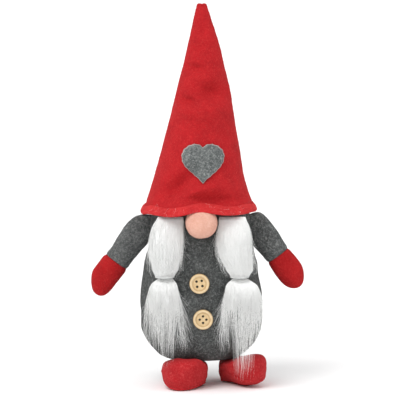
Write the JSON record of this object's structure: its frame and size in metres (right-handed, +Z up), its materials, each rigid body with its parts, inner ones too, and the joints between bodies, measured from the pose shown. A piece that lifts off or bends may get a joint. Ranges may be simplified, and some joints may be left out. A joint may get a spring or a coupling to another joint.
{
  "type": "tomte gnome figurine",
  "caption": "Standing stuffed felt gnome: tall cone hat with a heart patch and turned-up hem, round nose, two tied pigtails, wooden buttons, mittened arms and flat-soled feet.",
  "frame": {"origin": "point of the floor under the middle of the body, on the right foot's sole, whose face is z = 0", "axes": "+Z up along the hat; the figure faces -Y; +X is to the figure's own left"},
  "size_m": [0.1621, 0.0879, 0.289],
  "materials": {
    "red_felt": "matte",
    "red_hem_felt": "matte",
    "grey_felt": "matte",
    "grey_patch_felt": "matte",
    "nose_felt": "matte",
    "white_hair": "matte",
    "hair_tie": "matte",
    "button_wood": "satin",
    "fibre_fill": "matte",
    "pellet_bag": "matte"
  },
  "bodies": {
    "torso": {"hat_front_panel": "red_felt", "hat_back_panel": "red_felt", "hat_hem": "red_hem_felt", "hat_heart_patch": "grey_patch_felt", "hat_stuffing": "fibre_fill", "nose_cover": "nose_felt", "nose_stuffing": "fibre_fill", "body_front_panel": "grey_felt", "body_back_panel": "grey_felt", "body_base_panel": "grey_felt", "body_stuffing": "fibre_fill", "pellet_bag": "pellet_bag", "button_upper": "button_wood", "button_lower": "button_wood"},
    "left_arm": {"left_sleeve": "grey_felt", "left_mitten": "red_felt", "left_arm_stuffing": "fibre_fill"},
    "left_foot": {"left_foot_upper": "red_felt", "left_foot_sole": "red_felt", "left_foot_stuffing": "fibre_fill"},
    "left_pigtail": {"left_pigtail_upper": "white_hair", "left_pigtail_tie": "hair_tie"},
    "left_tuft": {"left_pigtail_tuft": "white_hair"},
    "right_arm": {"right_sleeve": "grey_felt", "right_mitten": "red_felt", "right_arm_stuffing": "fibre_fill"},
    "right_foot": {"right_foot_upper": "red_felt", "right_foot_sole": "red_felt", "right_foot_stuffing": "fibre_fill"},
    "right_pigtail": {"right_pigtail_upper": "white_hair", "right_pigtail_tie": "hair_tie"},
    "right_tuft": {"right_pigtail_tuft": "white_hair"}
  },
  "joints": [
    {"name": "left_arm_swing", "type": "hinge", "parent": "torso", "child": "left_arm", "pos_m": [0.0405, 0, 0.118], "axis": [0, 0, -1], "range_deg": [-30, 45], "stiffness_Nm_per_rad": 0.01},
    {"name": "left_foot_turn", "type": "hinge", "parent": "torso", "child": "left_foot", "pos_m": [0.0256, 0.003, 0.0195], "axis": [0, 0, 1], "range_deg": [-20, 15]},
    {"name": "left_pigtail_lift", "type": "hinge", "parent": "torso", "child": "left_pigtail", "pos_m": [0.025, -0.034, 0.1312], "axis": [-1, 0, 0], "range_deg": [0, 50]},
    {"name": "left_tuft_lift", "type": "hinge", "parent": "left_pigtail", "child": "left_tuft", "pos_m": [0.029, -0.0368, 0.0829], "axis": [-1, 0, 0], "range_deg": [0, 40]},
    {"name": "right_arm_swing", "type": "hinge", "parent": "torso", "child": "right_arm", "pos_m": [-0.0405, 0, 0.118], "axis": [0, 0, 1], "range_deg": [-30, 45], "stiffness_Nm_per_rad": 0.01},
    {"name": "right_foot_turn", "type": "hinge", "parent": "torso", "child": "right_foot", "pos_m": [-0.0096, -0.004, 0.0195], "axis": [0, 0, -1], "range_deg": [-10, 20]},
    {"name": "right_pigtail_lift", "type": "hinge", "parent": "torso", "child": "right_pigtail", "pos_m": [-0.025, -0.034, 0.1312], "axis": [-1, 0, 0], "range_deg": [0, 50]},
    {"name": "right_tuft_lift", "type": "hinge", "parent": "right_pigtail", "child": "right_tuft", "pos_m": [-0.0272, -0.0368, 0.0829], "axis": [-1, 0, 0], "range_deg": [0, 40]}
  ]
}
